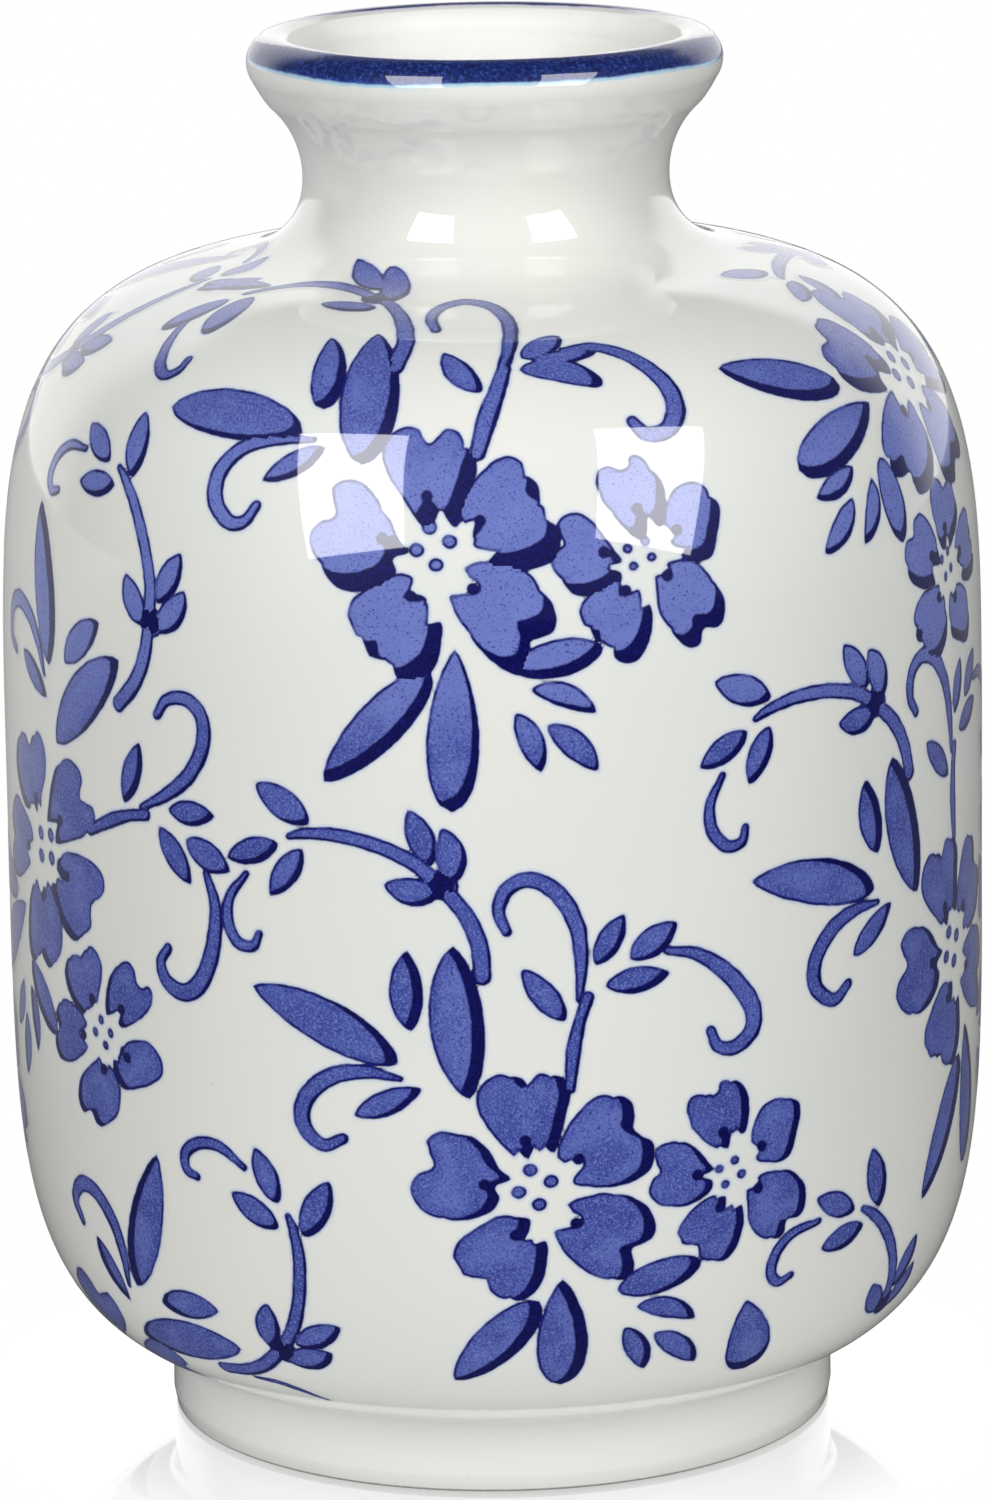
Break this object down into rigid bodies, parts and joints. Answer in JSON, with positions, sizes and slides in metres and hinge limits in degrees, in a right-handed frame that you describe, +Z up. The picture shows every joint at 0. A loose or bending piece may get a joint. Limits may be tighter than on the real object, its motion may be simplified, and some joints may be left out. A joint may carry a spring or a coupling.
{
  "type": "pottery vase",
  "caption": "Barrel-shaped glazed pottery vase on a foot ring, with a short flared neck, a rolled blue lip and blue floral brush painting.",
  "frame": {"origin": "centre of the foot, on the surface that the vase stands on", "axes": "+Z up along the vase's axis; the side with the largest flower faces -Y"},
  "size_m": [0.178, 0.178, 0.254],
  "materials": {
    "white_glaze": "gloss",
    "cobalt_glaze": "gloss",
    "bare_clay": "matte"
  },
  "bodies": {
    "root": {"foot_ring": "white_glaze", "floor_slab": "white_glaze", "lower_belly": "white_glaze", "upper_belly_and_shoulder": "white_glaze", "neck_collar": "white_glaze", "rolled_lip": "cobalt_glaze"}
  },
  "joints": []
}
